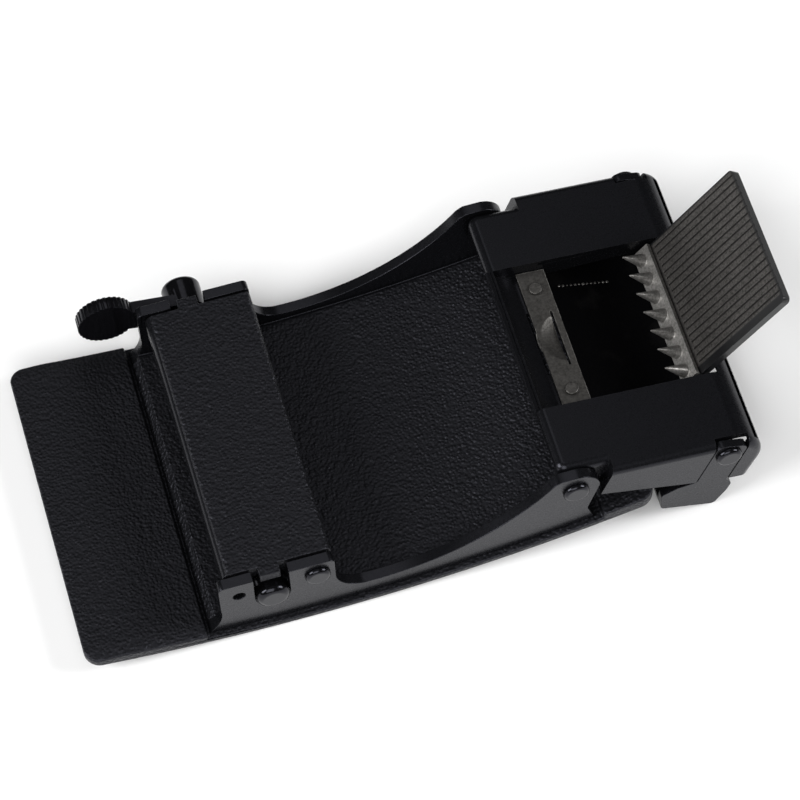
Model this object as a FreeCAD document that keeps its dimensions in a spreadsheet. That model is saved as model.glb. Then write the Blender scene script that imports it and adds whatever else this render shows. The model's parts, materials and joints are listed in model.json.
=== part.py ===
import FreeCAD, Part
import math
import os
import Sketcher

# Belt buckle seen from behind, lying on its curved face plate.
# Working frame: X along the strap, Y across it, Z up, Z = 0 under the plate.
# Every sub-part is moved by the same offset, so that the origin is the
# bottom centre of the whole buckle.

SIZES = [
    # whole buckle
    ("origin_x", "9.135"), ("origin_y", "1.75"),
    ("run_gap", "0.06"), ("side_gap", "0.15"), ("slot_gap", "0.15"),
    # face plate
    ("plate_l", "-34"), ("plate_r", "33.6"), ("plate_half", "20"),
    ("arc_x", "-7.4"), ("arc_r", "160.8"), ("plate_t", "1.9"), ("bed_t", "1"),
    ("bed_l", "-19.9"), ("bed_r", "27.3"), ("corner_r", "1.8"),
    ("bevel_end", "4"), ("bevel_drop", "0.4"), ("plate_edge_r", "0.35"),
    # folded bracket
    ("sheet_t", "1.3"), ("ear_half", "19.3"), ("foot_l", "-19.6"), ("flare_r", "5"), ("ear_l", "-17.9"),
    ("ear_top", "11.25"), ("ear_r", "-4.35"), ("flare_top", "5.9"), ("bracket_r", "26.35"),
    ("swoop_x", "0"), ("swoop_z", "30.5"), ("swoop_r", "26.8"), ("swoop_end", "21.4"),
    ("valley_r", "3.6"), ("lug_r", "2.85"), ("hook_x", "25.5"), ("hook_z", "7.2"),
    ("spare_x", "-15.6"), ("spare_drop", "0.25"), ("spare_r", "0.75"),
    # pawl
    ("shaft_x", "-11.75"), ("shaft_z", "6.85"), ("shaft_r", "2"), ("shaft_end", "19.95"),
    ("shaft_flat", "5.7"), ("tenon_r", "1.2"), ("tenon_end", "22.6"),
    ("bar_l", "-17.1"), ("bar_r", "-4.4"), ("bar_rise", "2.45"), ("bar_t", "1"),
    ("bar_half", "17.7"), ("bar_round_l", "1.1"), ("bar_round_r", "0.7"),
    ("flange_l_z", "8.6"), ("flange_r_z", "9.9"),
    ("tab_w", "2.4"), ("tab_end", "18.95"), ("tab_t", "1.3"),
    ("saddle_w", "5.3"), ("saddle_z", "5.95"), ("saddle_in", "16.2"), ("saddle_out", "17.2"),
    ("tooth_half", "8"), ("tooth_t", "1.1"), ("tooth_tip_x", "-6.5"), ("tooth_tip_z", "5.2"),
    ("tooth_knee_z", "7.3"), ("tooth_gap", "0.25"),
    # release lever
    ("lever_in", "19.55"), ("lever_out", "21.1"), ("boss_r", "2.35"), ("boss_out", "23.5"),
    ("knob_x", "-21.4"), ("knob_z", "8.9"), ("knob_r", "3.45"), ("knurl_r", "0.2"),
    ("knurls", "32"),
    # spring rivet and springs
    ("rivet_x", "-6.45"), ("rivet_rise", "0.05"), ("rivet_r", "0.8"), ("rivet_head_r", "1.5"),
    ("shaft_dome", "0.75"), ("boss_dome", "0.7"), ("head_dome", "0.45"), ("latch_dome", "0.15"),
    ("head_h", "0.6"), ("wire_r", "0.22"), ("coil_r", "1.07"), ("coil_pitch", "0.4"),
    ("leg_r", "0.19"), ("elbow_r", "0.24"),
    ("coil_turns", "6"), ("coil_y", "10.5"), ("leg_x", "-14.6"),
    # clamp box
    ("pivot_x", "24"), ("pivot_z", "12.1"), ("pivot_r", "1.1"), ("pivot_head_r", "1.55"),
    ("pivot_inner", "16.7"),
    ("box_t", "1"), ("box_l", "22.2"), ("box_top", "15.1"), ("box_fall", "0.1"),
    ("wide_half", "19.4"), ("jog_x", "28.5"), ("box_r", "47.8"),
    ("curl_r", "3.6"), ("fold_r", "1"), ("end_r", "1.2"), ("wall_l", "27"), ("wall_l_z", "9.85"),
    ("wall_m", "38.15"), ("wall_m_z", "6.4"), ("wall_r", "45.05"), ("wall_r_z", "4.95"),
    ("window_half", "9.6"), ("window_r", "44.2"), ("lip_z", "9.4"),
    ("ramp_r", "3.2"), ("ramp_lift", "0.8"), ("ramp_x", "25.7"), ("tongue_r", "29"),
    ("tongue_t", "0.9"),
    # slots and keeper loop
    ("tilt", "18"), ("arm_w", "3.8"), ("arm_top", "1.75"), ("arm_round", "0.8"), ("foot_round", "0.6"),
    ("slot_top", "5"), ("notch_in", "18.1"), ("slot_low", "12"),
    ("keeper_l", "-5.6"), ("keeper_r", "2.9"), ("keeper_low", "-10.85"), ("keeper_t", "1"),
    ("keeper_neck", "-5.6"), ("bar_lo_l", "-4.6"), ("bar_lo_r", "2.3"),
    # floor of the box
    ("floor_t", "0.5"), ("floor_l", "28.9"), ("floor_r", "44.6"),
    # latch strip
    ("strip_l", "25.75"), ("strip_t", "0.45"), ("strip_half", "9.5"), ("strip_r", "29.15"),
    ("dish_x", "28.1"), ("dish_off", "1.6"), ("dish_half", "4.2"), ("dish_deep", "1.1"),
    ("dish_gap", "0.1"), ("dish_slit", "0.3"),
    ("dish_sheet", "0.3"),
    ("latch_x", "27.4"), ("latch_y", "7"), ("latch_r", "0.45"), ("latch_head_r", "0.8"),
    ("latch_head_h", "0.3"),
    # flap
    ("pin_x", "42.2"), ("pin_z", "11"), ("pin_r", "0.8"), ("pin_head_r", "1.55"),
    ("open_deg", "52.2"), ("flap_len", "16.3"), ("flap_half", "9.2"), ("flap_in", "0.9"),
    ("flap_out", "0.1"), ("barrel_r", "1.4"), ("groove_pitch", "0.9"), ("groove_w", "0.26"),
    ("groove_d", "0.12"), ("grooves", "19"), ("groove_from", "1.6"), ("groove_shift", "0.35"),
    ("tip_round", "0.6"),
    ("comb_l", "-1.35"), ("comb_r", "1.25"), ("comb_t", "0.5"), ("comb_seat", "1.1"),
    ("tooth_len", "3"),
    ("tooth_r", "0.85"), ("point_r", "0.1"), ("tooth_pitch", "2.6"), ("teeth", "7"),
    ("tooth_u", "-0.35"), ("pin_tab_r", "1.6"), ("pin_tab_top", "1.6"),
]

DERIVED = [
    ("shaft_top", "=shaft_z + shaft_r"), ("bar_top", "=shaft_top + bar_rise"),
    ("rivet_z", "=shaft_top + rivet_rise"), ("spare_z", "=shaft_top - spare_drop"),
    ("tooth_x", "=shaft_x + shaft_r + tooth_gap"),
    ("pivot_bore", "=pivot_r + run_gap"), ("flap_bore", "=pin_r + run_gap"),
    ("bed_rad", "=arc_r - bed_t"), ("back_rad", "=arc_r - plate_t"),
    ("strip_rad", "=arc_r - bed_t - sheet_t"),
    ("plate_lz", "=arc_r - sqrt(arc_r ^ 2 - (plate_l - arc_x) ^ 2)"),
    ("plate_rz", "=arc_r - sqrt(arc_r ^ 2 - (plate_r - arc_x) ^ 2)"),
    ("back_lz", "=arc_r - sqrt(back_rad ^ 2 - (plate_l - arc_x) ^ 2)"),
    ("back_rz", "=arc_r - sqrt(back_rad ^ 2 - (plate_r - arc_x) ^ 2)"),
    ("bed_lz", "=arc_r - sqrt(bed_rad ^ 2 - (bed_l - arc_x) ^ 2)"),
    ("bed_rz", "=arc_r - sqrt(bed_rad ^ 2 - (bed_r - arc_x) ^ 2)"),
    ("foot_lz", "=arc_r - sqrt(bed_rad ^ 2 - (foot_l - arc_x) ^ 2)"),
    ("foot_rz", "=arc_r - sqrt(bed_rad ^ 2 - (bracket_r - arc_x) ^ 2)"),
    ("far_l", "=plate_l - 6"), ("far_r", "=plate_r + 8"),
    ("far_lz", "=arc_r - sqrt(strip_rad ^ 2 - (far_l - arc_x) ^ 2)"),
    ("far_rz", "=arc_r - sqrt(strip_rad ^ 2 - (far_r - arc_x) ^ 2)"),
    ("high", "=box_top + 10"), ("bevel_x", "=plate_l + bevel_end"),
    ("bevel_lz", "=back_lz - bevel_drop"),
    ("bevel_xz", "=arc_r - sqrt(back_rad ^ 2 - (bevel_x - arc_x) ^ 2)"),
    ("out_l", "=plate_l - 1"), ("bevel_out", "=bevel_lz - bevel_drop / bevel_end"),
    ("notch_r", "=shaft_r + run_gap"), ("notch_l", "=shaft_x - notch_r"),
    ("notch_rx", "=shaft_x + notch_r"), ("ear_in", "=ear_half - sheet_t"),
    ("swoop_lz", "=swoop_z - sqrt(swoop_r ^ 2 - (ear_r - swoop_x) ^ 2)"),
    ("swoop_rz", "=swoop_z - sqrt(swoop_r ^ 2 - (swoop_end - swoop_x) ^ 2)"),
    ("lug_top", "=pivot_z + lug_r"), ("lug_x", "=pivot_x + lug_r"),
    ("shoulder_x", "=swoop_end + 0.8"), ("shoulder_z", "=lug_top - 0.05"),
    ("coil_far", "=coil_y + (coil_turns - 1) * coil_pitch"), ("hook_end", "=ear_in + 0.4"),
    ("coil_top", "=rivet_z + coil_r"),
    ("leg_fall", "=atan((coil_top - spare_z) / (rivet_x - spare_x)) / 1 deg"),
    ("leg_run", "=sqrt((rivet_x - spare_x) ^ 2 + (coil_top - spare_z) ^ 2)"),
    ("bar_in_l", "=bar_l + bar_t"), ("bar_in_r", "=bar_r - bar_t"),
    ("bar_under", "=bar_top - bar_t"),
    ("tab_l", "=shaft_x - tab_w / 2"), ("tab_r", "=shaft_x + tab_w / 2"),
    ("tab_z", "=bar_top - tab_t"),
    ("saddle_l", "=shaft_x - saddle_w / 2"), ("saddle_r", "=shaft_x + saddle_w / 2"),
    ("tooth_xr", "=tooth_x + tooth_t"), ("tooth_back_x", "=tooth_tip_x - 0.75"),
    ("tooth_back_z", "=tooth_tip_z + 0.1"), ("tooth_knee_l", "=tooth_knee_z - 0.45"),
    ("arm_root_l", "=shaft_x - 0.6"), ("arm_low", "=shaft_z - 1.7"),
    ("arm_high", "=shaft_z + 2.1"), ("arm_tip", "=knob_x + 1.6"),
    ("arm_tip_low", "=knob_z - 2.1"), ("arm_tip_high", "=knob_z + 1.3"),
    ("jog_z", "=box_top - box_fall * (jog_x - box_l)"),
    ("box_rz", "=box_top - box_fall * (box_r - box_l)"),
    ("under_end", "=box_rz - box_t + 0.1 * box_t"), ("end_in", "=box_r - 1.45 * box_t"),
    ("lip_x", "=wall_r + (box_r - wall_r) * (lip_z - wall_r_z) / (box_rz - wall_r_z) - 1.05 * box_t"),
    ("narrow_half", "=ear_in - side_gap"),
    ("narrow_in", "=narrow_half - box_t"), ("wide_in", "=wide_half - box_t"),
    ("narrow_r", "=jog_x + 1.5"), ("narrow_rz", "=box_top - box_fall * (narrow_r - box_l)"),
    ("side_low", "=pivot_z - 2.2"), ("side_r", "=jog_x - 0.9"),
    ("side_round_l", "=pivot_x - 1.1"), ("side_round_r", "=pivot_x + 1.6"),
    ("side_bottom", "=pivot_z - 2.6"), ("under_l", "=box_top - box_t"),
    ("under_side_r", "=narrow_rz - box_t"), ("ramp_top_x", "=box_l + 0.8"),
    ("ramp_top_z", "=box_top - box_fall * 0.8"),
    ("ramp_cz", "=ramp_top_z + ramp_lift"), ("ramp_low", "=ramp_cz - ramp_r"),
    ("ramp_out_r", "=ramp_r + tongue_t"), ("ramp_out_z", "=ramp_low - tongue_t"),
    ("tongue_rz", "=ramp_low - 0.1 * (tongue_r - ramp_x)"),
    ("tongue_rlow", "=tongue_rz - tongue_t"),
    ("ramp_l_z", "=ramp_cz - sqrt(ramp_out_r ^ 2 - (ramp_x - box_l) ^ 2)"),
    ("ramp_x0", "=ramp_x - sqrt(ramp_r ^ 2 - (ramp_cz - ramp_top_z) ^ 2)"),
    ("wall_m2", "=wall_m + 3.9"), ("wall_m2_z", "=wall_m_z - 1"),
    ("mouth_x", "=box_r + 3"), ("mouth_low", "=wall_r_z - 3"),
    ("slot_half", "=arm_w / 2 + slot_gap"), ("arm_half", "=arm_w / 2"),
    ("keeper_in", "=wide_half - keeper_t"), ("bar_hi", "=keeper_low + keeper_t"),
    ("foot_top", "=keeper_neck - 0.9"), ("foot_mid", "=keeper_low + 2.9"),
    ("floor_lz", "=wall_l_z - (wall_l_z - wall_m_z) * (floor_l - wall_l) / (wall_m - wall_l)"),
    ("floor_mz", "=wall_m_z"),
    ("floor_rz", "=wall_m_z - (wall_m_z - wall_r_z) * (floor_r - wall_m) / (wall_r - wall_m)"),
    ("floor_lt", "=floor_lz + floor_t"), ("floor_mt", "=floor_mz + floor_t"),
    ("floor_rt", "=floor_rz + floor_t"),
    ("strip_lz", "=ramp_low - 0.1 * (strip_l - ramp_x)"),
    ("strip_rz", "=ramp_low - 0.1 * (strip_r - ramp_x)"),
    ("strip_lt", "=strip_lz + strip_t"), ("strip_rt", "=strip_rz + strip_t"),
    ("dish_z", "=ramp_low - 0.1 * (dish_x - ramp_x) + strip_t"),
    ("latch_z", "=ramp_low - 0.1 * (latch_x - ramp_x)"),
    ("comb_face", "=comb_seat + comb_t"), ("comb_cut_l", "=-flap_out - 1"),
    ("groove_y", "=groove_shift - groove_pitch * (grooves - 1) / 2"),
    ("comb_cut_top", "=comb_face + 1"),
    ("comb_half", "=flap_half - 0.05"), ("flap_low", "=-flap_out"),
    ("groove_end", "=flap_len + 1"), ("groove_hw", "=groove_w / 2"),
    ("groove_floor", "=flap_in - groove_d"), ("groove_lid", "=flap_in + 1"),
    ("dish_r", "=(dish_half ^ 2 + dish_deep ^ 2) / (2 * dish_deep)"),
    ("dish_hole_l", "=dish_x + dish_off - dish_half - dish_gap"),
    ("dish_hole_half", "=dish_half + dish_gap"),
    ("flange_lz", "=ramp_l_z - 0.2"), ("flange_r", "=box_r - 5.5"),
    ("flange_rt", "=box_top - box_fall * (flange_r - box_l) - box_t / 2"),
    ("flange_rz", "=flange_rt - 1.6"),
    ("latch_seat", "=latch_z + strip_t + 0.1 * latch_head_r"),
    ("pin_tab_out", "=window_half + box_t"), ("pin_tab_cut", "=pin_tab_out + 1"),
    ("keeper_shelf", "=keeper_l + 1.6"), ("keeper_out_l", "=keeper_l - 1"),
    ("keeper_out_r", "=keeper_r + 1"),
    ("tooth_y", "=-tooth_pitch * (teeth - 1) / 2"),
]

doc = FreeCAD.newDocument("belt_buckle")
sheet = doc.addObject("Spreadsheet::Sheet", "Sizes")
for row, (alias, text) in enumerate(SIZES + DERIVED, start=1):
    cell = "B%d" % row
    sheet.set("A%d" % row, alias)
    sheet.set(cell, text)
    sheet.setAlias(cell, alias)
doc.recompute()


def val(ref):
    """Number behind a size name; a leading minus turns it round."""
    if isinstance(ref, (int, float)):
        return float(ref)
    if ref.startswith("-"):
        return -float(sheet.get(ref[1:]))
    return float(sheet.get(ref))


def expr(ref):
    if isinstance(ref, (int, float)):
        return str(ref)
    if ref.startswith("-"):
        return "-Sizes." + ref[1:]
    return "Sizes." + ref


def new_body(label):
    body = doc.addObject("PartDesign::Body", label)
    body.Label = label
    return body


def plane(body, role):
    return [f for f in body.Origin.OriginFeatures if f.Role == role][0]


def sketch_on(body, name, role):
    sketch = body.newObject("Sketcher::SketchObject", name)
    sketch.AttachmentSupport = [(plane(body, role), "")]
    sketch.MapMode = "FlatFace"
    return sketch


def pin_point(sketch, geo, pos, point):
    for kind, ref in (("DistanceX", point[0]), ("DistanceY", point[1])):
        index = sketch.addConstraint(Sketcher.Constraint(kind, -1, 1, geo, pos, val(ref)))
        if not isinstance(ref, (int, float)):
            sketch.setExpression("Constraints[%d]" % index, expr(ref))


def arc_between(start, end, radius, bulge):
    """Arc of the given radius from start to end; bulge 1 has its centre left of the chord."""
    a = FreeCAD.Vector(start[0], start[1], 0)
    b = FreeCAD.Vector(end[0], end[1], 0)
    chord = b - a
    mid = (a + b) * 0.5
    off = math.sqrt(max(radius ** 2 - (chord.Length / 2) ** 2, 1e-9))
    left = FreeCAD.Vector(-chord.y, chord.x, 0).normalize()
    centre = mid + left * off * bulge
    t0 = math.atan2(a.y - centre.y, a.x - centre.x)
    t1 = math.atan2(b.y - centre.y, b.x - centre.x)
    circle = Part.Circle(centre, FreeCAD.Vector(0, 0, 1), radius)
    if bulge > 0:
        return Part.ArcOfCircle(circle, t0, t1), 1, 2
    return Part.ArcOfCircle(circle, t1, t0), 2, 1


def outline(sketch, points):
    """Closed outline. A point is (x, y), or (x, y, radius, bulge) when the edge
    that leaves it is an arc."""
    edges = []
    for i, point in enumerate(points):
        after = points[(i + 1) % len(points)]
        start = (val(point[0]), val(point[1]))
        end = (val(after[0]), val(after[1]))
        if len(point) == 2:
            line = Part.LineSegment(FreeCAD.Vector(*start, 0), FreeCAD.Vector(*end, 0))
            edges.append((sketch.addGeometry(line, False), 1, 2, None))
        else:
            arc, first, last = arc_between(start, end, val(point[2]), point[3])
            edges.append((sketch.addGeometry(arc, False), first, last, point[2]))
    for i, (geo, first, last, radius) in enumerate(edges):
        following = edges[(i + 1) % len(edges)]
        sketch.addConstraint(Sketcher.Constraint("Coincident", geo, last, following[0], following[1]))
        pin_point(sketch, geo, first, points[i])
        if radius is not None:
            index = sketch.addConstraint(Sketcher.Constraint("Radius", geo, val(radius)))
            if not isinstance(radius, (int, float)):
                sketch.setExpression("Constraints[%d]" % index, expr(radius))


def circle_on(sketch, x, y, radius):
    shape = Part.Circle(FreeCAD.Vector(val(x), val(y), 0), FreeCAD.Vector(0, 0, 1), val(radius))
    geo = sketch.addGeometry(shape, False)
    pin_point(sketch, geo, 3, (x, y))
    index = sketch.addConstraint(Sketcher.Constraint("Radius", geo, val(radius)))
    sketch.setExpression("Constraints[%d]" % index, expr(radius))


PIN = ("pin_x", "pin_z")
TILTED = (PIN, "-Sizes.tilt")
OPENED = (PIN, "Sizes.open_deg")


def turn_sketch(sketch, centre, angle):
    """Move a sketch's own origin to a point of its plane and turn its axes."""
    sketch.AttachmentOffset = FreeCAD.Placement(
        FreeCAD.Vector(), FreeCAD.Rotation(FreeCAD.Vector(0, 0, 1), 10))
    sketch.setExpression(".AttachmentOffset.Base.x", expr(centre[0]))
    sketch.setExpression(".AttachmentOffset.Base.y", expr(centre[1]))
    sketch.setExpression(".AttachmentOffset.Rotation.Angle", angle)


def pad(body, name, half, points=None, circle=None, role="XZ_Plane", turned=None):
    """Pad that reaches the same distance on both sides of the sketch plane."""
    sketch = sketch_on(body, name + "_outline", role)
    if turned:
        turn_sketch(sketch, *turned)
    if points:
        outline(sketch, points)
    if circle:
        circle_on(sketch, *circle)
    feature = body.newObject("PartDesign::Pad", name)
    feature.Profile = sketch
    feature.Midplane = True
    feature.setExpression("Length", "2 * " + expr(half))
    sketch.Visibility = False
    return feature


def pocket(body, name, half, points=None, circle=None, role="XZ_Plane", turned=None):
    sketch = sketch_on(body, name + "_outline", role)
    if turned:
        turn_sketch(sketch, *turned)
    if points:
        outline(sketch, points)
    if circle:
        circle_on(sketch, *circle)
    feature = body.newObject("PartDesign::Pocket", name)
    feature.Profile = sketch
    feature.Midplane = True
    feature.setExpression("Length", "2 * " + expr(half))
    sketch.Visibility = False
    return feature


def edges_where(feature, test):
    doc.recompute()
    found = []
    for i, edge in enumerate(feature.Shape.Edges, start=1):
        if test(edge):
            found.append("Edge%d" % i)
    return found


def along(axis, edge):
    if edge.Curve.TypeId != "Part::GeomLine":
        return False
    return abs(getattr(edge.tangentAt(edge.FirstParameter), axis)) > 0.999


def near_xz(edge, x, z, reach=0.08):
    c = edge.CenterOfMass
    return abs(c.x - val(x)) < reach and abs(c.z - val(z)) < reach


def fillet(body, name, base, test, radius):
    feature = body.newObject("PartDesign::Fillet", name)
    feature.Base = (base, edges_where(base, test))
    feature.setExpression("Radius", expr(radius))
    return feature


def bind(obj, **props):
    for key, ref in props.items():
        obj.setExpression(key, ref)


def place(obj, x="0", y="0", z="0"):
    """Put an object at a point of the working frame, shifted to the buckle's origin."""
    obj.setExpression(".Placement.Base.x", "%s - Sizes.origin_x" % x)
    obj.setExpression(".Placement.Base.y", "%s - Sizes.origin_y" % y)
    obj.setExpression(".Placement.Base.z", z)


ALONG_Y = FreeCAD.Rotation(FreeCAD.Vector(1, 0, 0), -90)


def rod(name, radius, start, length, x="0", z="0", bore=False):
    """Cylinder along Y that starts at the given Y."""
    obj = doc.addObject("Part::Cylinder", name)
    bind(obj, Radius=radius, Height=length)
    obj.Placement = FreeCAD.Placement(FreeCAD.Vector(), ALONG_Y)
    obj.setExpression(".Placement.Base.x", x)
    obj.setExpression(".Placement.Base.y", start)
    obj.setExpression(".Placement.Base.z", z)
    return obj


def fuse(name, shapes):
    obj = doc.addObject("Part::MultiFuse", name)
    obj.Shapes = shapes
    obj.Refine = True
    return obj


def cut(name, base, tool):
    obj = doc.addObject("Part::Cut", name)
    obj.Base = base
    obj.Tool = tool
    obj.Refine = True
    return obj


def round_edges(name, base, test, radius):
    doc.recompute()
    obj = doc.addObject("Part::Fillet", name)
    obj.Base = base
    size = val(radius)
    obj.Edges = [(i, size, size) for i, e in enumerate(base.Shape.Edges, start=1) if test(e)]
    return obj


def on_side(edge, half):
    return abs(abs(edge.CenterOfMass.y) - val(half)) < 0.01


def is_rim(edge, y, radius):
    if edge.Curve.TypeId != "Part::GeomCircle":
        return False
    return abs(edge.Curve.Center.y - y) < 0.01 and abs(edge.Curve.Radius - radius) < 0.01


def face_plate():
    body = new_body("face_plate")
    slab = pad(body, "Slab", "plate_half", [
        ("plate_l", "plate_lz", "arc_r", 1), ("plate_r", "plate_rz"),
        ("plate_r", "back_rz", "back_rad", -1), ("plate_l", "back_lz")])
    pocket(body, "Bed", "high", [
        ("bed_l", "bed_lz", "bed_rad", 1), ("bed_r", "bed_rz"),
        ("bed_r", "high"), ("bed_l", "high")])
    last = pocket(body, "EndBevel", "high", [
        ("out_l", "bevel_out"), ("bevel_x", "bevel_xz"), ("bevel_x", "high"), ("out_l", "high")])
    corners = fillet(body, "Corners", last, lambda e: along("z", e) and (
        abs(abs(e.CenterOfMass.y) - val("plate_half")) < 0.01
        and (abs(e.CenterOfMass.x - val("plate_l")) < 0.1 or abs(e.CenterOfMass.x - val("plate_r")) < 0.1)),
        "corner_r")
    fillet(body, "FaceEdge", corners, lambda e: (
        e.Curve.TypeId == "Part::GeomCircle" and abs(e.Curve.Radius - val("arc_r")) < 0.01), "plate_edge_r")
    place(body)
    return body


def frame_bracket():
    body = new_body("frame_bracket")
    sides = pad(body, "Sides", "ear_half", [
        ("foot_l", "foot_lz", "bed_rad", 1), ("bracket_r", "foot_rz"), ("hook_x", "hook_z"),
        ("lug_x", "pivot_z", "lug_r", 1), ("pivot_x", "lug_top"), ("shoulder_x", "shoulder_z"),
        ("swoop_end", "swoop_rz", "swoop_r", -1), ("ear_r", "swoop_lz"), ("ear_r", "ear_top"),
        ("notch_rx", "ear_top"), ("notch_rx", "shaft_z", "notch_r", -1), ("notch_l", "shaft_z"),
        ("notch_l", "ear_top"), ("ear_l", "ear_top"), ("ear_l", "flare_top", "flare_r", -1)])
    valley = fillet(body, "Valley", sides, lambda e: near_xz(e, "ear_r", "swoop_lz"), "valley_r")
    tips = body.newObject("PartDesign::Fillet", "EarTips")
    tips.Base = (valley, edges_where(valley, lambda e: along("y", e) and (
        near_xz(e, "ear_l", "ear_top") or near_xz(e, "ear_r", "ear_top")
        or near_xz(e, "ear_l", "flare_top") or near_xz(e, "hook_x", "hook_z"))))
    tips.Radius = 0.7
    pocket(body, "Channel", "ear_in", [
        ("far_l", "far_lz", "strip_rad", 1), ("far_r", "far_rz"), ("far_r", "high"), ("far_l", "high")])
    pocket(body, "SpareHole", "high", circle=("spare_x", "spare_z", "spare_r"))
    pocket(body, "SpringHole", "high", circle=("rivet_x", "rivet_z", "rivet_r"))
    pocket(body, "PivotHole", "high", circle=("pivot_x", "pivot_z", "pivot_r"))
    place(body)
    return body


def pawl_bar():
    body = new_body("pawl_bar")
    skin = pad(body, "Skin", "bar_half", [
        ("bar_l", "flange_l_z"), ("bar_in_l", "flange_l_z"), ("bar_in_l", "bar_under"),
        ("bar_in_r", "bar_under"), ("bar_in_r", "flange_r_z"), ("bar_r", "flange_r_z"),
        ("bar_r", "bar_top"), ("bar_l", "bar_top")])
    left = fillet(body, "LeftBend", skin, lambda e: near_xz(e, "bar_l", "bar_top"), "bar_round_l")
    right = fillet(body, "RightBend", left, lambda e: near_xz(e, "bar_r", "bar_top"), "bar_round_r")
    pad(body, "Tabs", "tab_end", [
        ("tab_l", "tab_z"), ("tab_r", "tab_z"), ("tab_r", "bar_top"), ("tab_l", "bar_top")])
    pocket(body, "TabGap", "saddle_in", [
        ("tab_l", "tab_z"), ("tab_r", "tab_z"), ("tab_r", "bar_under"), ("tab_l", "bar_under")])
    pad(body, "Saddles", "saddle_out", [
        ("saddle_l", "saddle_z"), ("saddle_r", "saddle_z"),
        ("saddle_r", "bar_under"), ("saddle_l", "bar_under")])
    pocket(body, "SaddleGap", "saddle_in", [
        ("saddle_l", "saddle_z"), ("saddle_r", "saddle_z"),
        ("saddle_r", "bar_under"), ("saddle_l", "bar_under")])
    pocket(body, "ShaftSeat", "high", circle=("shaft_x", "shaft_z", "shaft_r"))
    place(body)
    return body


def pawl_shaft():
    journal = rod("Journal", "Sizes.shaft_r", "-Sizes.shaft_end",
                  "Sizes.shaft_end + Sizes.lever_in", "Sizes.shaft_x", "Sizes.shaft_z")
    dome = round_edges("ShaftDome", journal,
                       lambda e: is_rim(e, -val("shaft_end"), val("shaft_r")), "shaft_dome")
    tenon = rod("Tenon", "Sizes.tenon_r", "Sizes.lever_in - 1",
                "Sizes.tenon_end - Sizes.lever_in + 1", "Sizes.shaft_x", "Sizes.shaft_z")
    flat = doc.addObject("Part::Box", "ShaftFlat")
    bind(flat, Length="3 * Sizes.shaft_r", Width="2 * Sizes.bar_half", Height="Sizes.shaft_r")
    flat.setExpression(".Placement.Base.x", "Sizes.shaft_x - 1.5 * Sizes.shaft_r")
    flat.setExpression(".Placement.Base.y", "-Sizes.bar_half")
    flat.setExpression(".Placement.Base.z", "Sizes.shaft_flat - Sizes.shaft_r")
    obj = cut("pawl_shaft", fuse("ShaftParts", [dome, tenon]), flat)
    place(obj)
    return obj


def pawl_tooth():
    body = new_body("pawl_tooth")
    pad(body, "Blade", "tooth_half", [
        ("tooth_x", "tooth_knee_l"), ("tooth_back_x", "tooth_back_z"),
        ("tooth_tip_x", "tooth_tip_z"), ("tooth_xr", "tooth_knee_z"),
        ("tooth_xr", "bar_under"), ("tooth_x", "bar_under")])
    place(body)
    return body


def release_lever():
    boss = rod("Boss", "Sizes.boss_r", "Sizes.lever_in", "Sizes.boss_out - Sizes.lever_in",
               "Sizes.shaft_x", "Sizes.shaft_z")
    boss = round_edges("BossRim", boss,
                       lambda e: is_rim(e, val("boss_out"), val("boss_r")), "boss_dome")
    knob = rod("Knob", "Sizes.knob_r", "Sizes.lever_in", "Sizes.lever_out - Sizes.lever_in",
               "Sizes.knob_x", "Sizes.knob_z")
    knurls = []
    count = int(val("knurls"))
    for i in range(count):
        turn = "%d * 360 / Sizes.knurls" % i
        ridge = rod("Knurl%02d" % i, "Sizes.knurl_r", "Sizes.lever_in - 1", "4",
                    "Sizes.knob_x + (Sizes.knob_r + Sizes.knurl_r * 0.4) * cos(%s)" % turn,
                    "Sizes.knob_z + (Sizes.knob_r + Sizes.knurl_r * 0.4) * sin(%s)" % turn)
        knurls.append(ridge)
    knob = cut("KnurledKnob", knob, fuse("Knurls", knurls))
    arm = new_body("LeverArm")
    sketch = sketch_on(arm, "Arm_outline", "XZ_Plane")
    outline(sketch, [
        ("arm_root_l", "arm_low"), ("arm_root_l", "arm_high"), ("arm_tip", "arm_tip_high"),
        ("arm_tip", "arm_tip_low")])
    sketch.setExpression(".AttachmentOffset.Base.z", "-Sizes.lever_out")
    web = arm.newObject("PartDesign::Pad", "Arm")
    web.Profile = sketch
    web.setExpression("Length", "Sizes.lever_out - Sizes.lever_in")
    bore = rod("BossBore", "Sizes.tenon_r", "Sizes.lever_in - 1",
               "Sizes.tenon_end - Sizes.lever_in + 1", "Sizes.shaft_x", "Sizes.shaft_z")
    obj = cut("release_lever", fuse("LeverParts", [boss, arm, knob]), bore)
    place(obj)
    return obj


def headed_rod(name, radius, head_r, seat, x, z):
    """Rod between the outer faces at plus and minus seat, with a domed head on each."""
    shank = rod(name + "_shank", radius, "-%s - 0.1" % seat, "2 * %s + 0.2" % seat, x, z)
    heads = []
    for side, start in (("n", "-%s - Sizes.head_h" % seat), ("f", seat)):
        head = rod(name + "_head_" + side, head_r, start, "Sizes.head_h", x, z)
        doc.recompute()
        far = head.Placement.Base.y + (val("head_h") if side == "f" else 0)
        heads.append(round_edges(name + "_dome_" + side, head,
                                 lambda e, far=far, r=head.Radius.Value: is_rim(e, far, r), "head_dome"))
    obj = fuse(name, [shank] + heads)
    place(obj)
    return obj


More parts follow.
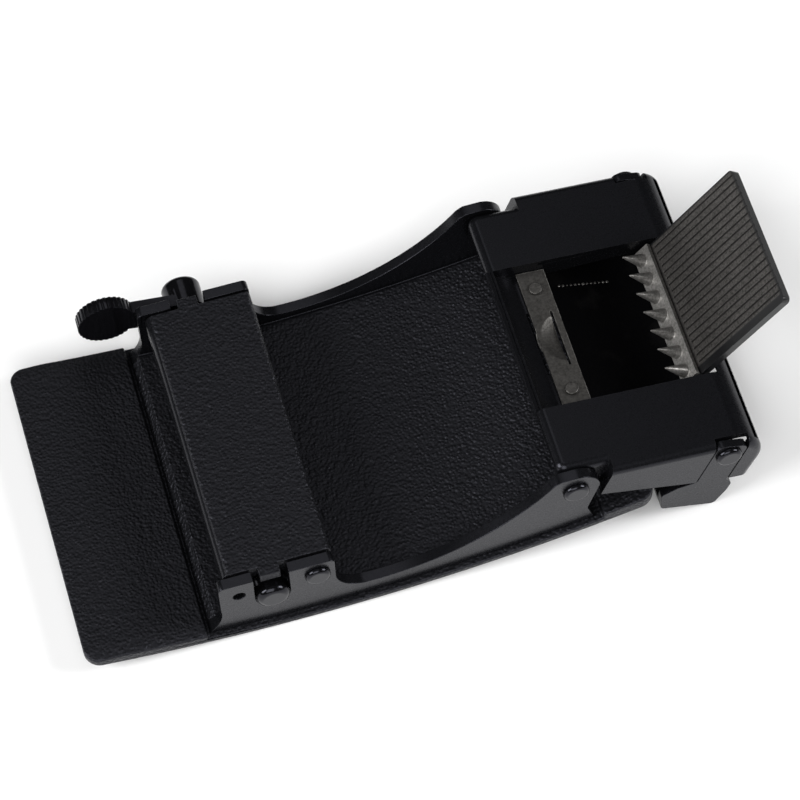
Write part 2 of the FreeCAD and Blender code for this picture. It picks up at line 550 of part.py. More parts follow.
def wire_leg(name, angle, length, y):
    """Straight leg that leaves the top of the coil, to the left and down by the angle."""
    leg = doc.addObject("Part::Cylinder", name)
    bind(leg, Radius="Sizes.leg_r", Height=length)
    leg.Placement = FreeCAD.Placement(FreeCAD.Vector(), FreeCAD.Rotation(FreeCAD.Vector(0, 1, 0), -100))
    leg.setExpression(".Placement.Rotation.Angle", "-90 - (%s)" % angle)
    leg.setExpression(".Placement.Base.x", "Sizes.rivet_x")
    leg.setExpression(".Placement.Base.y", y)
    leg.setExpression(".Placement.Base.z", "Sizes.rivet_z + Sizes.coil_r")
    return leg


def pawl_spring(name, side):
    """Torsion spring on the rivet: one leg under the bar, one hooked into the spare hole."""
    rings = []
    for i in range(int(val("coil_turns"))):
        ring = doc.addObject("Part::Torus", "%s_turn%d" % (name, i))
        bind(ring, Radius1="Sizes.coil_r", Radius2="Sizes.wire_r")
        ring.Placement = FreeCAD.Placement(FreeCAD.Vector(), ALONG_Y)
        ring.setExpression(".Placement.Base.x", "Sizes.rivet_x")
        ring.setExpression(".Placement.Base.y", "%d * (Sizes.coil_y + %d * Sizes.coil_pitch)" % (side, i))
        ring.setExpression(".Placement.Base.z", "Sizes.rivet_z")
        rings.append(ring)
    inner = "%d * Sizes.coil_y" % side
    outer = "%d * Sizes.coil_far" % side
    upper = wire_leg(name + "_upper", "0", "Sizes.rivet_x - Sizes.leg_x", inner)
    lower = wire_leg(name + "_lower", "Sizes.leg_fall", "Sizes.leg_run", outer)
    start = "Sizes.coil_far" if side > 0 else "-Sizes.hook_end"
    hook = rod(name + "_hook", "Sizes.leg_r", start, "Sizes.hook_end - Sizes.coil_far",
               "Sizes.spare_x", "Sizes.spare_z")
    elbow = doc.addObject("Part::Sphere", name + "_elbow")
    bind(elbow, Radius="Sizes.elbow_r")
    elbow.setExpression(".Placement.Base.x", "Sizes.spare_x")
    elbow.setExpression(".Placement.Base.y", outer)
    elbow.setExpression(".Placement.Base.z", "Sizes.spare_z")
    obj = fuse(name, rings + [upper, lower, hook, elbow])
    place(obj)
    return obj


def clamp_box():
    body = new_body("clamp_box")
    wide = pad(body, "WideSide", "wide_half", [
        ("jog_x", "jog_z"), ("wall_l", "wall_l_z"), ("wall_m", "wall_m_z"),
        ("wall_m2", "wall_m2_z"), ("wall_r", "wall_r_z"), ("box_r", "box_rz")])
    curl = fillet(body, "Curl", wide, lambda e: near_xz(e, "box_r", "box_rz"), "curl_r")
    fillet(body, "WideFolds", curl, lambda e: on_side(e, "wide_half") and e.CenterOfMass.z > val("lip_z")
           and e.CenterOfMass.x > val("jog_x") + 1 and e.CenterOfMass.x < val("box_r") - 1.2, "fold_r")
    narrow = pad(body, "NarrowSide", "narrow_half", [
        ("box_l", "box_top"), ("box_l", "side_low"), ("side_round_l", "side_bottom"),
        ("side_round_r", "side_bottom"), ("side_r", "wall_l_z"), ("jog_x", "jog_z"),
        ("narrow_r", "narrow_rz")])
    ends = fillet(body, "LeftCorners", narrow, lambda e: on_side(e, "narrow_half") and along("z", e)
                  and abs(e.CenterOfMass.x - val("box_l")) < 0.01, "end_r")
    fillet(body, "NarrowFolds", ends, lambda e: (
        on_side(e, "narrow_half") and e.CenterOfMass.z > val("under_l")
        and e.CenterOfMass.x < val("jog_x")), "fold_r")
    pocket(body, "Inside", "wide_in", [
        ("jog_x", "under_l"), ("end_in", "under_end"), ("lip_x", "lip_z"),
        ("mouth_x", "lip_z"), ("mouth_x", "mouth_low"), ("jog_x", "mouth_low")])
    pocket(body, "NarrowInside", "narrow_in", [
        ("plate_l", "under_l"), ("box_l", "under_l"), ("narrow_r", "under_side_r"),
        ("narrow_r", "mouth_low"), ("plate_l", "mouth_low")])
    pad(body, "WindowFlange", "pin_tab_out", [
        ("ramp_top_x", "under_l"), ("ramp_top_x", "flange_lz"), ("ramp_x", "ramp_out_z"),
        ("tongue_r", "tongue_rlow"), ("flange_r", "flange_rz"), ("flange_r", "flange_rt")])
    pad(body, "PinTabs", "pin_tab_out", [
        ("-pin_tab_r", 0, "pin_tab_r", 1), ("pin_tab_r", 0), ("pin_tab_r", "pin_tab_top"),
        ("-pin_tab_r", "pin_tab_top")], turned=TILTED)
    pocket(body, "PinTabHoles", "pin_tab_cut", circle=("pin_x", "pin_z", "pin_r"))
    pocket(body, "Window", "window_half", [
        ("ramp_top_x", "mouth_low"), ("window_r", "mouth_low"), ("window_r", "high"),
        ("ramp_top_x", "high")])
    pocket(body, "PivotClear", "high", circle=("pivot_x", "pivot_z", "pivot_bore"))
    pad(body, "Ramp", "window_half", [
        ("box_l", "box_top"), ("box_l", "ramp_l_z", "ramp_out_r", 1), ("ramp_x", "ramp_out_z"),
        ("tongue_r", "tongue_rlow"), ("tongue_r", "tongue_rz"), ("ramp_x", "ramp_low", "ramp_r", -1),
        ("ramp_x0", "ramp_top_z")])
    pocket(body, "DishHole", "dish_hole_half", [
        ("dish_hole_l", "mouth_low"), ("tongue_r", "mouth_low"), ("tongue_r", "high"),
        ("dish_hole_l", "high")])
    pocket(body, "LatchHoles", "high", circle=("latch_x", "latch_y", "latch_r"), role="XY_Plane")
    pocket(body, "LatchHoles2", "high", circle=("latch_x", "-latch_y", "latch_r"), role="XY_Plane")
    side_slots(body)
    place(body)
    return body


def side_slots(body):
    """Slot through each side wall and its fold, for the arms of the keeper loop."""
    sketch = sketch_on(body, "Slot_outline", "XZ_Plane")
    turn_sketch(sketch, *TILTED)
    sketch.setExpression(".AttachmentOffset.Base.z", "-Sizes.notch_in")
    outline(sketch, [("-slot_half", "-slot_low"), ("slot_half", "-slot_low"),
                     ("slot_half", "slot_top"), ("-slot_half", "slot_top")])
    slot = body.newObject("PartDesign::Pocket", "Slot")
    slot.Profile = sketch
    slot.setExpression("Length", "Sizes.wide_half - Sizes.notch_in + 1")
    sketch.Visibility = False
    both = body.newObject("PartDesign::Mirrored", "SlotBothSides")
    both.Originals = [slot]
    both.MirrorPlane = (plane(body, "XZ_Plane"), [""])
    body.Tip = both


def keeper_loop():
    body = new_body("keeper_loop")
    loop = pad(body, "Loop", "wide_half", [
        ("arm_half", "arm_top"), ("-arm_half", "arm_top"), ("-arm_half", "keeper_neck"),
        ("keeper_shelf", "foot_top"), ("keeper_l", "foot_mid"), ("bar_lo_l", "keeper_low"),
        ("bar_lo_r", "keeper_low"), ("keeper_r", "foot_mid"), ("keeper_r", "foot_top"),
        ("arm_half", "keeper_neck")], turned=TILTED)
    feet = fillet(body, "FootCorners", loop, lambda e: (
        along("y", e) and e.CenterOfMass.z < val("lip_z") - 2 and e.Length > 10), "foot_round")
    fillet(body, "ArmCorners", feet, lambda e: (
        along("y", e) and e.CenterOfMass.z > val("pin_z") + 0.5), "arm_round")
    pocket(body, "Passage", "keeper_in", [
        ("keeper_out_l", "bar_hi"), ("keeper_out_r", "bar_hi"), ("keeper_out_r", 9),
        ("keeper_out_l", 9)], turned=TILTED)
    pocket(body, "PinHoles", "high", circle=("pin_x", "pin_z", "pin_r"))
    place(body)
    return body


def clamp_flap():
    body = new_body("clamp_flap")
    leaf = pad(body, "Leaf", "flap_half", [
        (0, "flap_low"), ("flap_len", "flap_low"), ("flap_len", "flap_in"), (0, "flap_in")], turned=OPENED)
    tip = body.newObject("PartDesign::Fillet", "TipCorners")
    tip.Base = (leaf, edges_where(leaf, lambda e: not along("y", e) and e.CenterOfMass.x > val("pin_x") + 5
                                  and abs(abs(e.CenterOfMass.y) - val("flap_half")) < 0.01
                                  and e.Length < 2.5))
    tip.setExpression("Radius", "Sizes.tip_round")
    barrel = pad(body, "Barrel", "flap_half", circle=(0, 0, "barrel_r"))
    turn_sketch(barrel.Profile[0], PIN, "Sizes.open_deg")
    pocket(body, "CombSeat", "high", [
        ("comb_cut_l", "comb_seat"), ("comb_r", "comb_seat"), ("comb_r", "comb_cut_top"),
        ("comb_cut_l", "comb_cut_top")], turned=OPENED)
    groove = pocket(body, "Groove", "groove_hw", [
        ("groove_from", "groove_floor"), ("groove_end", "groove_floor"), ("groove_end", "groove_lid"),
        ("groove_from", "groove_lid")], turned=OPENED)
    groove.Profile[0].setExpression(".AttachmentOffset.Base.z", "-Sizes.groove_y")
    rows = body.newObject("PartDesign::LinearPattern", "Grooves")
    rows.Originals = [groove]
    rows.Direction = (plane(body, "Y_Axis"), [""])
    rows.setExpression("Length", "Sizes.groove_pitch * (Sizes.grooves - 1)")
    rows.setExpression("Occurrences", "Sizes.grooves")
    body.Tip = rows
    bore = pocket(body, "Bore", "high", circle=(0, 0, "flap_bore"))
    turn_sketch(bore.Profile[0], PIN, "Sizes.open_deg")
    place(body)
    return body


def tooth_comb():
    strip = new_body("CombStrip")
    pad(strip, "Strip", "comb_half", [
        ("comb_l", "comb_seat"), ("comb_r", "comb_seat"), ("comb_r", "comb_face"),
        ("comb_l", "comb_face")], turned=OPENED)
    cones = []
    for i in range(int(val("teeth"))):
        cone = doc.addObject("Part::Cone", "Tooth%d" % i)
        bind(cone, Radius1="Sizes.tooth_r", Radius2="Sizes.point_r", Height="Sizes.tooth_len + 0.1")
        cone.Placement = FreeCAD.Placement(FreeCAD.Vector(), FreeCAD.Rotation(FreeCAD.Vector(0, 1, 0), -10))
        cone.setExpression(".Placement.Rotation.Angle", "-Sizes.open_deg")
        cone.setExpression(".Placement.Base.x", "Sizes.pin_x + Sizes.tooth_u * cos(Sizes.open_deg)"
                           " - (Sizes.comb_face - 0.1) * sin(Sizes.open_deg)")
        cone.setExpression(".Placement.Base.y", "Sizes.tooth_y + %d * Sizes.tooth_pitch" % i)
        cone.setExpression(".Placement.Base.z", "Sizes.pin_z + Sizes.tooth_u * sin(Sizes.open_deg)"
                           " + (Sizes.comb_face - 0.1) * cos(Sizes.open_deg)")
        cones.append(cone)
    obj = fuse("tooth_comb", [strip] + cones)
    place(obj)
    return obj


def box_rivet(name, side):
    """Pivot rivet: fast in the ear, running in the side of the clamp box."""
    start = "Sizes.pivot_inner" if side > 0 else "-Sizes.ear_half"
    shank = rod(name + "_shank", "Sizes.pivot_r", start, "Sizes.ear_half - Sizes.pivot_inner",
                "Sizes.pivot_x", "Sizes.pivot_z")
    head_start = "Sizes.ear_half" if side > 0 else "-Sizes.ear_half - Sizes.head_h"
    head = rod(name + "_head", "Sizes.pivot_head_r", head_start, "Sizes.head_h",
               "Sizes.pivot_x", "Sizes.pivot_z")
    outer = side * (val("ear_half") + val("head_h"))
    head = round_edges(name + "_dome", head,
                       lambda e: is_rim(e, outer, val("pivot_head_r")), "head_dome")
    obj = fuse(name, [shank, head])
    place(obj)
    return obj


def box_floor():
    body = new_body("box_floor")
    pad(body, "Sheet", "wide_in", [
        ("floor_l", "floor_lz"), ("wall_m", "floor_mz"), ("floor_r", "floor_rz"),
        ("floor_r", "floor_rt"), ("wall_m", "floor_mt"), ("floor_l", "floor_lt")])
    place(body)
    return body


def bowl(name, radius):
    """Ball that presses the half dish into the strip."""
    obj = doc.addObject("Part::Sphere", name)
    bind(obj, Radius=radius)
    obj.setExpression(".Placement.Base.x", "Sizes.dish_x + Sizes.dish_off")
    obj.setExpression(".Placement.Base.z", "Sizes.dish_z + Sizes.dish_r - Sizes.dish_deep")
    return obj


def latch_strip():
    """Strip over the tongue with a half dish pressed down, open towards the teeth."""
    strip = new_body("StripSheet")
    pad(strip, "Strip", "strip_half", [
        ("strip_l", "strip_lz"), ("strip_r", "strip_rz"), ("strip_r", "strip_rt"), ("strip_l", "strip_lt")])
    pocket(strip, "RivetHole", "high", circle=("latch_x", "latch_y", "latch_r"), role="XY_Plane")
    pocket(strip, "RivetHole2", "high", circle=("latch_x", "-latch_y", "latch_r"), role="XY_Plane")
    below = doc.addObject("Part::Box", "DishHalf")
    bind(below, Length="2 * Sizes.dish_half", Width="3 * Sizes.dish_half", Height="3 * Sizes.dish_deep")
    below.setExpression(".Placement.Base.x", "Sizes.dish_x - 2 * Sizes.dish_half")
    below.setExpression(".Placement.Base.y", "-1.5 * Sizes.dish_half")
    below.setExpression(".Placement.Base.z", "Sizes.dish_z - 3 * Sizes.dish_deep")
    outer = doc.addObject("Part::Common", "DishOutside")
    outer.Base = bowl("DishBall", "Sizes.dish_r")
    outer.Tool = below
    shell = cut("DishShell", outer, bowl("DishInside", "Sizes.dish_r - Sizes.dish_sheet"))
    slit = doc.addObject("Part::Box", "DishSlit")
    bind(slit, Length="Sizes.dish_slit", Width="2 * (Sizes.dish_half - Sizes.strip_t)", Height="Sizes.high")
    slit.setExpression(".Placement.Base.x", "Sizes.dish_x")
    slit.setExpression(".Placement.Base.y", "Sizes.strip_t - Sizes.dish_half")
    opened = cut("OpenedStrip", strip, slit)
    near = doc.addObject("Part::Common", "PressedAway")
    near.Base = bowl("DishPress", "Sizes.dish_r - Sizes.dish_sheet")
    near.Tool = doc.addObject("Part::Box", "LeftOfSlit")
    bind(near.Tool, Length="2 * Sizes.dish_half", Width="3 * Sizes.dish_half", Height="Sizes.high")
    near.Tool.setExpression(".Placement.Base.x", "Sizes.dish_x - 2 * Sizes.dish_half")
    near.Tool.setExpression(".Placement.Base.y", "-1.5 * Sizes.dish_half")
    obj = fuse("latch_strip", [cut("PressedStrip", opened, near), shell])
    place(obj)
    return obj


def latch_rivet(name, side):
    shank = doc.addObject("Part::Cylinder", name + "_shank")
    bind(shank, Radius="Sizes.latch_r", Height="Sizes.tongue_t + Sizes.strip_t + 0.3")
    head = doc.addObject("Part::Cylinder", name + "_head")
    bind(head, Radius="Sizes.latch_head_r", Height="Sizes.latch_head_h")
    for part, low in ((shank, "Sizes.latch_z - Sizes.tongue_t - 0.15"), (head, "Sizes.latch_seat")):
        part.setExpression(".Placement.Base.x", "Sizes.latch_x")
        part.setExpression(".Placement.Base.y", "%d * Sizes.latch_y" % side)
        part.setExpression(".Placement.Base.z", low)
    doc.recompute()
    top = val("latch_seat") + val("latch_head_h")
    head = round_edges(name + "_dome", head, lambda e: (
        e.Curve.TypeId == "Part::GeomCircle" and abs(e.Curve.Center.z - top) < 0.01), "latch_dome")
    obj = fuse(name, [shank, head])
    place(obj)
    return obj


def build_all():
    return [
        face_plate(), frame_bracket(),
        headed_rod("spring_rivet", "Sizes.rivet_r", "Sizes.rivet_head_r", "Sizes.ear_half",
                   "Sizes.rivet_x", "Sizes.rivet_z"),
        pawl_spring("pawl_spring_near", -1), pawl_spring("pawl_spring_far", 1),
        pawl_bar(), pawl_shaft(), pawl_tooth(), release_lever(),
        clamp_box(), box_rivet("box_rivet_near", -1), box_rivet("box_rivet_far", 1),
        box_floor(), latch_strip(),
        latch_rivet("latch_rivet_near", -1), latch_rivet("latch_rivet_far", 1),
        headed_rod("flap_pin", "Sizes.pin_r", "Sizes.pin_head_r", "Sizes.wide_half",
                   "Sizes.pin_x", "Sizes.pin_z"),
        keeper_loop(), clamp_flap(), tooth_comb(),
    ]


def check(parts):
    for obj in doc.Objects:
        faults = [state for state in obj.State if state in ("Invalid", "Error")]
        if faults:
            raise RuntimeError("%s is %s" % (obj.Name, faults))
    for part in parts:
        if part.Shape.isNull() or not part.Shape.isValid() or len(part.Shape.Solids) != 1:
            raise RuntimeError("%s has no single valid solid" % part.Label)


parts = build_all()
doc.recompute()
check(parts)
os.makedirs("parts", exist_ok=True)
for part in parts:
    part.Shape.exportStep("parts/%s.step" % part.Label)
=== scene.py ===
import json
import math
import bmesh
import bpy
from mathutils import Matrix, Vector


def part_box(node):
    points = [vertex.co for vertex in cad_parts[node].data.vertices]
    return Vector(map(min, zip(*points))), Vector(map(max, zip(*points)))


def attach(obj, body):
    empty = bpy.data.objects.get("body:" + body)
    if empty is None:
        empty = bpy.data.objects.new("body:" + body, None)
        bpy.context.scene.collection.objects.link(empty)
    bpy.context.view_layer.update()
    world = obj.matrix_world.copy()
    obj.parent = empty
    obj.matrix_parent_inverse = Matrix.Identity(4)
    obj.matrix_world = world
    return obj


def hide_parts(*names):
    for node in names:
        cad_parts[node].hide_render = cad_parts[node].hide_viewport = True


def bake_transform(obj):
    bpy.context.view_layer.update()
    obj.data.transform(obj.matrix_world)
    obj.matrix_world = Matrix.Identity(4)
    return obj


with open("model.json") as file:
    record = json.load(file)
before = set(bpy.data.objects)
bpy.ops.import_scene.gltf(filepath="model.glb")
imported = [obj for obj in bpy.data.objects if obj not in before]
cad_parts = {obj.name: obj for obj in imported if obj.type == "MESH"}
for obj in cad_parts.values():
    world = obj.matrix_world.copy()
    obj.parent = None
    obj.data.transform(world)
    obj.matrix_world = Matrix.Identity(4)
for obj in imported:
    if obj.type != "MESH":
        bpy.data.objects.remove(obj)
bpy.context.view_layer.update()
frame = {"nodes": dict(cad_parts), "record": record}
MM = 0.001

# ---------------------------------------------------------------- places
# The flap's hinge, in the row frame, read from the joints of the record.
JOINTS = {j["name"]: j for j in frame["record"]["behaviour"]["joints"]}
HINGE = Vector(JOINTS["flap_hinge"]["pos_m"])
BODY_OF = {node: body for body, nodes in frame["record"]["behaviour"]["bodies"].items()
           for node in nodes}

# Camera: direction, roll, distance and lens
CAM_ELEVATION = 60.427
CAM_AZIMUTH = -13.804
CAM_ROLL = 2.807
CAM_DISTANCE = 0.39705
CAM_TARGET = (0.00012, 0.00001, 0.005)
CAM_LENS = 152.54
WORLD_LIGHT = 0.035

OPEN_ANGLE = math.radians(52.2)
FLAP_LENGTH = 16.3 * MM
GRAIN = 0.38 * MM
COOL = (0.84, 0.85, 1.0, 1.0)


# ------------------------------------------------------------- materials
class Nodes:
    """Small helper for building one material's node tree."""

    def __init__(self, name):
        self.mat = bpy.data.materials.new(name)
        self.mat.use_nodes = True
        self.tree = self.mat.node_tree
        self.bsdf = self.tree.nodes["Principled BSDF"]

    def add(self, kind, inputs=None, **props):
        node = self.tree.nodes.new(kind)
        for key, value in props.items():
            setattr(node, key, value)
        for key, value in (inputs or {}).items():
            self.link(value, node.inputs[key])
        return node

    def link(self, value, socket):
        if isinstance(value, bpy.types.NodeSocket):
            self.tree.links.new(value, socket)
        elif isinstance(value, bpy.types.Node):
            self.tree.links.new(value.outputs[0], socket)
        else:
            socket.default_value = value

    def math(self, op, a, b=None, clamp=False):
        inputs = {0: a} if b is None else {0: a, 1: b}
        return self.add("ShaderNodeMath", inputs, operation=op, use_clamp=clamp)

    def ramp(self, value, low, high, out_low=0.0, out_high=1.0):
        node = self.add("ShaderNodeMapRange", {"Value": value, "From Min": low, "From Max": high,
                                               "To Min": out_low, "To Max": out_high})
        node.clamp = True
        return node

    def mix(self, fac, a, b):
        node = self.add("ShaderNodeMix", data_type="RGBA")
        self.link(fac, node.inputs[0])
        self.link(a, node.inputs[6])
        self.link(b, node.inputs[7])
        return node.outputs[2]

    def coords(self):
        return self.add("ShaderNodeTexCoord").outputs["Object"]

    def noise(self, scale, detail=3.0, rough=0.55, vector=None):
        return self.add("ShaderNodeTexNoise", {
            "Vector": vector or self.coords(), "Scale": scale, "Detail": detail,
            "Roughness": rough}).outputs["Fac"]

    def worn_edges(self, start=0.53, full=0.6):
        """1 on convex edges, broken up by noise."""
        geometry = self.add("ShaderNodeNewGeometry")
        rounded = self.add("ShaderNodeBevel", {"Radius": 0.12 * MM}).outputs["Normal"]
        same = self.add("ShaderNodeVectorMath", {0: rounded, 1: geometry.outputs["Normal"]},
                        operation="DOT_PRODUCT").outputs["Value"]
        near = self.ramp(same, 0.93, 0.995, 1.0, 0.0)
        convex = self.ramp(geometry.outputs["Pointiness"], start, full)
        patchy = self.ramp(self.noise(900.0), 0.42, 0.62)
        return self.math("MULTIPLY", self.math("MULTIPLY", near, convex), patchy)

    def bump(self, height, strength, distance, normal=None):
        inputs = {"Height": height, "Strength": strength, "Distance": distance}
        if normal is not None:
            inputs["Normal"] = normal
        return self.add("ShaderNodeBump", inputs).outputs["Normal"]

    def set(self, **values):
        for key, value in values.items():
            self.link(value, self.bsdf.inputs[key.replace("_", " ")])


def rgb(r, g, b):
    return (r, g, b, 1.0)


def satin_paint(n):
    """Colour, roughness and height of the smooth black coat."""
    base = n.mix(n.noise(90.0, 2.0), rgb(0.0028, 0.0029, 0.0034), rgb(0.0034, 0.0035, 0.0041))
    base = n.mix(n.worn_edges(), base, rgb(0.011, 0.011, 0.012))
    rough = n.ramp(n.noise(2600.0, 3.0), 0.3, 0.7, 0.25, 0.31)
    return base, rough, n.noise(5200.0, 2.0)


def pebble_height(n, size):
    """Fine pebbled grain: rounded cells, broken up by smaller noise."""
    cells = n.add("ShaderNodeTexVoronoi", {"Vector": n.coords(), "Scale": 1.0 / size,
                                           "Smoothness": 0.5}, feature="SMOOTH_F1")
    round_tops = n.ramp(cells.outputs["Distance"], 0.1, 0.75, 1.0, 0.0)
    waves = n.noise(0.55 / size, 2.0)
    fine = n.noise(3.5 / size, 2.0)
    height = n.math("ADD", round_tops, n.math("MULTIPLY", waves, 1.2))
    return n.math("ADD", height, n.math("MULTIPLY", fine, 0.3))


def grained_paint(n):
    """Colour, roughness and height of the matte grained black coat."""
    base = n.mix(n.noise(120.0, 3.0), rgb(0.0036, 0.0037, 0.0043), rgb(0.0050, 0.0051, 0.0058))
    base = n.mix(n.worn_edges(0.54, 0.62), base, rgb(0.012, 0.012, 0.013))
    rough = n.ramp(n.noise(1800.0, 3.0), 0.3, 0.7, 0.38, 0.5)
    return base, rough, pebble_height(n, GRAIN)


def finish_black(n, base, rough, normal, level):
    n.set(Base_Color=base, Roughness=rough, Normal=normal)
    n.bsdf.inputs["IOR"].default_value = 1.5
    n.bsdf.inputs["Specular IOR Level"].default_value = level
    n.bsdf.inputs["Specular Tint"].default_value = COOL
    return n.mat


def satin_black():
    n = Nodes("satin_black")
    base, rough, height = satin_paint(n)
    return finish_black(n, base, rough, n.bump(height, 0.1, 0.00002), 0.3)


def grained_black():
    n = Nodes("grained_black")
    base, rough, height = grained_paint(n)
    return finish_black(n, base, rough, n.bump(height, 0.9, 0.00009), 0.32)


def part_grained(name, smooth):
    """Grained coat that is smooth where the mask built by smooth(n) is 1."""
    n = Nodes(name)
    coat, rough, height = grained_paint(n)
    plain, plain_rough, _ = satin_paint(n)
    mask = smooth(n)
    keep = n.math("SUBTRACT", 1.0, mask)
    base = n.mix(mask, coat, plain)
    rough = n.math("ADD", n.math("MULTIPLY", rough, keep), n.math("MULTIPLY", plain_rough, mask))
    return finish_black(n, base, rough, n.bump(n.math("MULTIPLY", height, keep), 0.9, 0.00009), 0.32)


def bar_bend(n):
    """The bar's left bend is smooth."""
    x = n.add("ShaderNodeSeparateXYZ", {0: n.coords()}).outputs["X"]
    left = BAR_LOW.x + BAR_SMOOTH
    return n.ramp(x, left - 0.2 * MM, left, 1.0, 0.0)


def bracket_walls(n):
    """The bracket is smooth except for the strap bed between its walls."""
    y = n.add("ShaderNodeSeparateXYZ", {0: n.coords()}).outputs["Y"]
    off = n.math("ABSOLUTE", n.math("SUBTRACT", y, BRACKET_MID))
    return n.ramp(off, BED_HALF - 0.25 * MM, BED_HALF)


def painted_shade_floor():
    """Box floor coat painted near-black as painted shade inside the box, lighter in random noise
    patches.
    """
    n = Nodes("floor_painted_shade")
    # painted shade: the floor colour is near-black to stand for the shade inside the box; random noise
    # patches keep a lighter coat tone
    lighter_patches = n.ramp(n.noise(260.0, 4.0), 0.55, 0.75)
    base = n.mix(lighter_patches, rgb(0.0006, 0.0006, 0.0006), rgb(0.0042, 0.004, 0.0038))
    rough = n.ramp(n.noise(1500.0, 3.0), 0.3, 0.7, 0.55, 0.7)
    return finish_black(n, base, rough, n.bump(pebble_height(n, GRAIN), 0.4, 0.00004), 0.05)


def gloss_black(name="gloss_black"):
    n = Nodes(name)
    base = n.mix(n.noise(500.0), rgb(0.0022, 0.0022, 0.0026), rgb(0.0034, 0.0034, 0.004))
    base = n.mix(n.worn_edges(), base, rgb(0.012, 0.012, 0.013))
    rough = n.ramp(n.noise(2500.0, 4.0), 0.35, 0.7, 0.12, 0.2)
    return finish_black(n, base, rough, n.bump(n.noise(2500.0), 0.05, 0.00002), 0.3)


def steel_layer(n, dark, light, rough_low, rough_high):
    """Colour, roughness and height of bare stamped steel."""
    grain = n.noise(3200.0, 5.0, 0.7)
    blot = n.noise(600.0, 4.0)
    colour = n.mix(n.ramp(grain, 0.3, 0.7), dark, light)
    colour = n.mix(n.math("MULTIPLY", n.ramp(blot, 0.5, 0.75), 0.35), colour, dark)
    rough = n.ramp(grain, 0.3, 0.7, rough_high, rough_low)
    return colour, rough, grain


def bare_steel(name, dark, light, rough_low, rough_high):
    n = Nodes(name)
    colour, rough, grain = steel_layer(n, dark, light, rough_low, rough_high)
    colour = n.mix(n.worn_edges(), colour, rgb(0.42, 0.41, 0.39))
    n.set(Base_Color=colour, Roughness=rough, Normal=n.bump(grain, 0.35, 0.00005))
    n.bsdf.inputs["Metallic"].default_value = 0.7
    return n.mat


def spring_wire():
    n = Nodes("spring_wire")
    colour = n.mix(n.noise(2500.0), rgb(0.2, 0.2, 0.2), rgb(0.38, 0.38, 0.385))
    n.set(Base_Color=colour, Roughness=n.ramp(n.noise(1800.0), 0.3, 0.7, 0.25, 0.4),
          Normal=n.bump(n.noise(5000.0), 0.1, 0.00002))
    n.bsdf.inputs["Metallic"].default_value = 0.9
    return n.mat


def flap_steel():
    """Bare steel on the flap's inner face, black paint on its border, edges and back."""
    n = Nodes("flap_steel")
    low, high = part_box("clamp_flap")
    side_border = 1.1 * MM
    far_border = 0.3 * MM
    place = n.coords()
    offset = n.add("ShaderNodeVectorMath", {0: place, 1: tuple(HINGE)}, operation="SUBTRACT")
    parts = n.add("ShaderNodeSeparateXYZ", {0: offset.outputs[0]})
    along = n.math("ADD", n.math("MULTIPLY", parts.outputs["X"], math.cos(OPEN_ANGLE)),
                   n.math("MULTIPLY", parts.outputs["Z"], math.sin(OPEN_ANGLE)))
    rise = n.math("SUBTRACT", n.math("MULTIPLY", parts.outputs["Z"], math.cos(OPEN_ANGLE)),
                  n.math("MULTIPLY", parts.outputs["X"], math.sin(OPEN_ANGLE)))
    inside = n.ramp(rise, 0.70 * MM, 0.76 * MM)
    inside = n.math("MULTIPLY", inside, n.ramp(along, FLAP_LENGTH - 0.4 * MM, FLAP_LENGTH - 0.2 * MM,
                                               1.0, 0.0))
    y = n.add("ShaderNodeSeparateXYZ", {0: place}).outputs["Y"]
    inside = n.math("MULTIPLY", inside, n.ramp(y, low[1] + side_border - 0.15 * MM,
                                               low[1] + side_border))
    inside = n.math("MULTIPLY", inside, n.ramp(y, high[1] - far_border, high[1] - far_border + 0.1 * MM,
                                               1.0, 0.0))
    # painted shade: the groove bottoms on the inner face are darkened towards rgb(0.012, 0.0115, 0.011)
    # to stand for the shade in the grooves
    groove_shade = n.math("SUBTRACT", 1.0, n.ramp(rise, 0.80 * MM, 0.88 * MM))
    colour, rough, grain = steel_layer(n, rgb(0.028, 0.026, 0.0245), rgb(0.135, 0.128, 0.122),
                                       0.32, 0.48)
    colour = n.mix(n.math("MULTIPLY", groove_shade, 0.85), colour, rgb(0.012, 0.0115, 0.011))
    paint, _, _ = satin_paint(n)
    n.set(Base_Color=n.mix(inside, paint, colour),
          Roughness=n.math("ADD", n.math("MULTIPLY", inside, n.math("SUBTRACT", rough, 0.28)), 0.28),
          Metallic=n.math("MULTIPLY", inside, 0.8),
          Normal=n.bump(grain, 0.25, 0.00004))
    return n.mat


BAR_LOW = Vector(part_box("pawl_bar")[0])
BAR_SMOOTH = 0.75 * MM
BRACKET_LOW, BRACKET_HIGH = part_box("frame_bracket")
BRACKET_MID = (BRACKET_LOW[1] + BRACKET_HIGH[1]) / 2
BED_HALF = 17.9 * MM
MATERIALS = {
    "satin_black": satin_black(),
    "grained_black": grained_black(),
    "gloss_black": gloss_black(),
    "bare_steel": bare_steel("bare_steel", rgb(0.035, 0.033, 0.031), rgb(0.11, 0.106, 0.10), 0.34, 0.5),
    "spring_wire": spring_wire(),
    "flap_steel": flap_steel(),
}
OWN_MATERIAL = {
    "pawl_bar": part_grained("bar_black", bar_bend),
    "frame_bracket": part_grained("bracket_black", bracket_walls),
    "box_floor": painted_shade_floor(),
    "release_lever": gloss_black("lever_black"),
    "tooth_comb": bare_steel("comb_steel", rgb(0.09, 0.087, 0.082), rgb(0.36, 0.35, 0.335), 0.28, 0.44),
}
SLOT_OF = {s["node"]: s["material_slot"] for s in frame["record"]["subparts"]}


